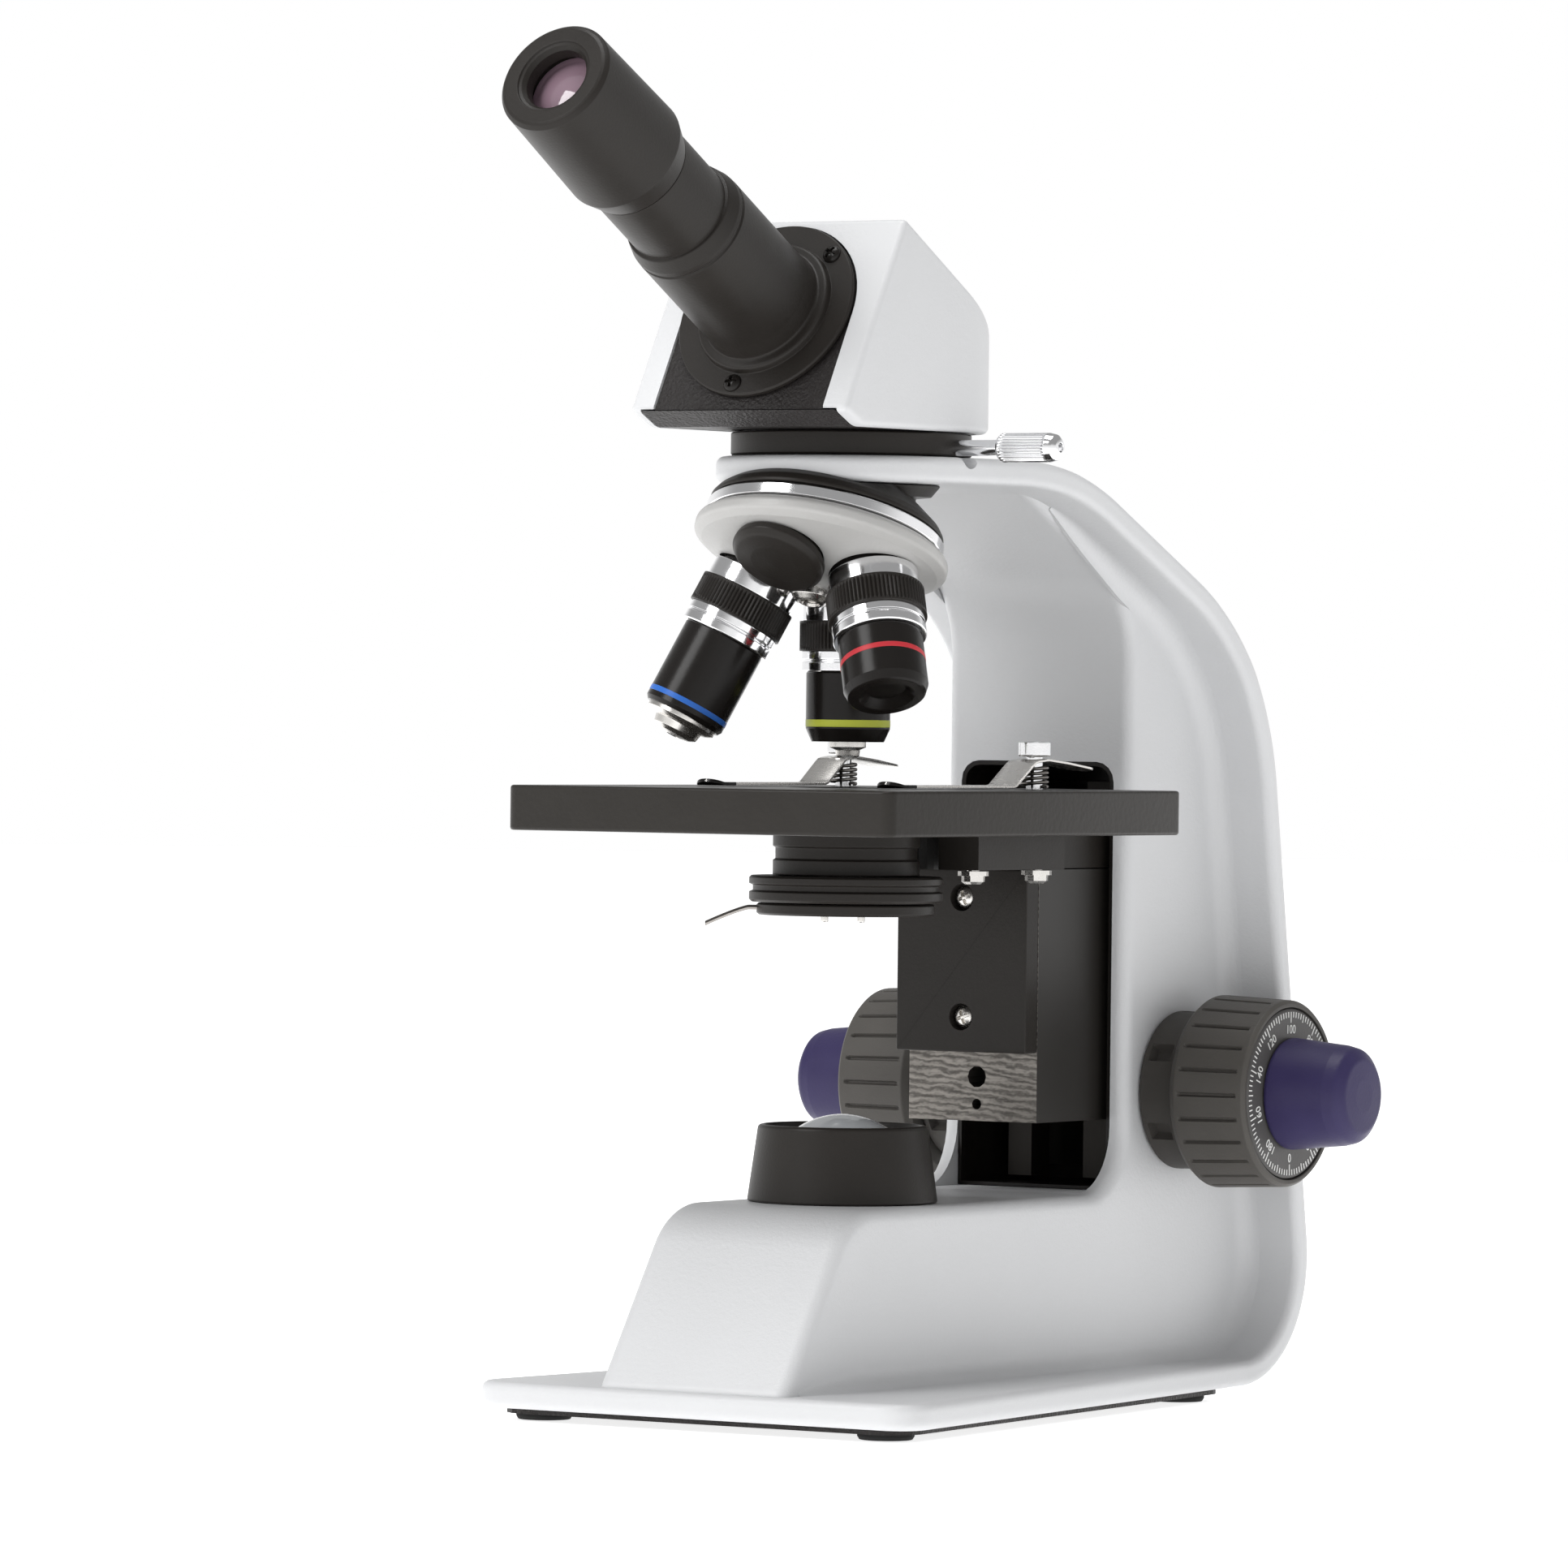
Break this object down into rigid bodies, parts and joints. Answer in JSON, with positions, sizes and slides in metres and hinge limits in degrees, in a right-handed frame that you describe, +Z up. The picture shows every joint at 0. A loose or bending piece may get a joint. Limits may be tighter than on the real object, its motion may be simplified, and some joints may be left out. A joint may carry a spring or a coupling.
{
  "type": "microscope",
  "caption": "Student compound microscope with an inclined monocular head, a revolving nosepiece, a flat stage and coaxial focus knobs.",
  "frame": {"origin": "bottom centre of the bounding box, on the surface the feet rest on", "axes": "+Z up, -Y towards the eyepiece and the user, +X to the user's right"},
  "size_m": [0.1596, 0.2856, 0.325],
  "materials": {
    "white_enamel": "powder coated",
    "nosepiece_enamel": "satin paint",
    "black_anodised": "black satin",
    "collar_plastic": "matt",
    "knob_plastic": "matt, ribbed",
    "fine_knob_plastic": "matt",
    "dial_face": "printed",
    "bright_steel": "polished",
    "milled_metal": "milled",
    "guide_iron": "machined, greased",
    "chrome_plate": "plated",
    "foot_rubber": "moulded",
    "clear_glass": "polished",
    "coated_glass": "coated",
    "led_board": "printed board"
  },
  "bodies": {
    "stand": {"stand_casting": "white_enamel", "bottom_cover": "black_anodised", "foot_front_left": "foot_rubber", "foot_front_right": "foot_rubber", "foot_rear_left": "foot_rubber", "foot_rear_right": "foot_rubber", "lamp_housing": "black_anodised", "collector_lens": "clear_glass", "led_board": "led_board", "power_inlet": "black_anodised", "nosepiece_mount": "black_anodised", "head_ring": "black_anodised", "shaft_collar_left": "collar_plastic"},
    "switch": {"power_switch": "black_anodised"},
    "clamp": {"clamp_screw": "chrome_plate"},
    "guide": {"guide_frame": "guide_iron"},
    "carriage": {"focus_block": "milled_metal", "front_plate": "black_anodised", "plate_screw_upper": "bright_steel", "plate_screw_lower": "bright_steel", "stage_bracket": "black_anodised", "stage_screw_front_left": "bright_steel", "stage_screw_front_right": "bright_steel", "stage_screw_rear_left": "bright_steel", "stage_screw_rear_right": "bright_steel", "stage": "black_anodised", "clip_post_left": "bright_steel", "clip_post_right": "bright_steel", "clip_spring_left": "bright_steel", "clip_spring_right": "bright_steel", "condenser_barrel": "black_anodised", "condenser_lens": "clear_glass", "diaphragm_disc": "black_anodised"},
    "iris": {"iris_ring": "black_anodised"},
    "clip_left": {"stage_clip_left": "bright_steel"},
    "clip_right": {"stage_clip_right": "bright_steel"},
    "coarse": {"pinion_shaft": "bright_steel", "coarse_knob_left": "knob_plastic", "coarse_knob_right": "knob_plastic"},
    "fine": {"fine_shaft": "bright_steel", "fine_knob_left": "fine_knob_plastic", "fine_knob_right": "fine_knob_plastic", "fine_dial": "dial_face"},
    "tension": {"tension_ring": "collar_plastic"},
    "turret": {"turret_dome": "nosepiece_enamel", "turret_ring": "chrome_plate", "pivot_screw": "bright_steel", "port_plug": "black_anodised", "objective_10x": "black_anodised", "objective_40x": "black_anodised", "objective_4x": "black_anodised"},
    "head": {"head_housing": "white_enamel", "head_insert": "black_anodised", "head_prism": "clear_glass", "head_tube": "black_anodised", "flange_screw_left": "black_anodised", "flange_screw_right": "black_anodised", "flange_screw_low": "black_anodised"},
    "eyepiece": {"eyepiece_body": "black_anodised", "eyepiece_lens": "coated_glass"}
  },
  "joints": [
    {"name": "head_swivel", "type": "hinge", "parent": "stand", "child": "head", "pos_m": [0, -0.00825, 0.2354], "axis": [0, 0, 1], "continuous": true},
    {"name": "eyepiece_turn", "type": "hinge", "parent": "head", "child": "eyepiece", "pos_m": [0, -0.04545, 0.2626], "axis": [0, -0.8746, 0.4848], "continuous": true},
    {"name": "nosepiece_turn", "type": "hinge", "parent": "stand", "child": "turret", "pos_m": [0, -0.00825, 0.2425], "axis": [0, -0.342, -0.9397], "continuous": true},
    {"name": "clamp_turn", "type": "hinge", "parent": "stand", "child": "clamp", "pos_m": [0, -0.00625, 0.2316], "axis": [1, 0, 0], "range_deg": [0, 540]},
    {"name": "switch_rock", "type": "hinge", "parent": "stand", "child": "switch", "pos_m": [-0.009, 0.13535, 0.046], "axis": [1, 0, 0], "range_deg": [-6, 6]},
    {"name": "tension_turn", "type": "hinge", "parent": "stand", "child": "tension", "pos_m": [0, 0.10335, 0.07605], "axis": [1, 0, 0], "range_deg": [0, 90]},
    {"name": "coarse_turn", "type": "hinge", "parent": "stand", "child": "coarse", "pos_m": [0, 0.10335, 0.07605], "axis": [1, 0, 0], "range_deg": [0, 152]},
    {"name": "fine_turn", "type": "hinge", "parent": "stand", "child": "fine", "pos_m": [0, 0.10335, 0.07605], "axis": [1, 0, 0], "range_deg": [-900, 900]},
    {"name": "fine_lift", "type": "slide", "parent": "stand", "child": "guide", "axis": [0, 0, 1], "range_m": [-0.0005, 0.0005]},
    {"name": "coarse_lift", "type": "slide", "parent": "guide", "child": "carriage", "axis": [0, 0, 1], "range_m": [-0.0159, 0]},
    {"name": "iris_turn", "type": "hinge", "parent": "carriage", "child": "iris", "pos_m": [0, -0.00825, 0.121], "axis": [0, 0, 1], "range_deg": [-40, 40]},
    {"name": "clip_left_swing", "type": "hinge", "parent": "carriage", "child": "clip_left", "pos_m": [-0.0274, 0.03275, 0.151], "axis": [0, 0, 1], "range_deg": [-60, 10]},
    {"name": "clip_right_swing", "type": "hinge", "parent": "carriage", "child": "clip_right", "pos_m": [0.0274, 0.03275, 0.151], "axis": [0, 0, 1], "range_deg": [-10, 60]}
  ],
  "couplings": [
    {"joint": "fine_turn", "follows": "fine_lift", "rad_per_m": 31416},
    {"joint": "coarse_turn", "follows": "coarse_lift", "rad_per_m": -166.67}
  ]
}
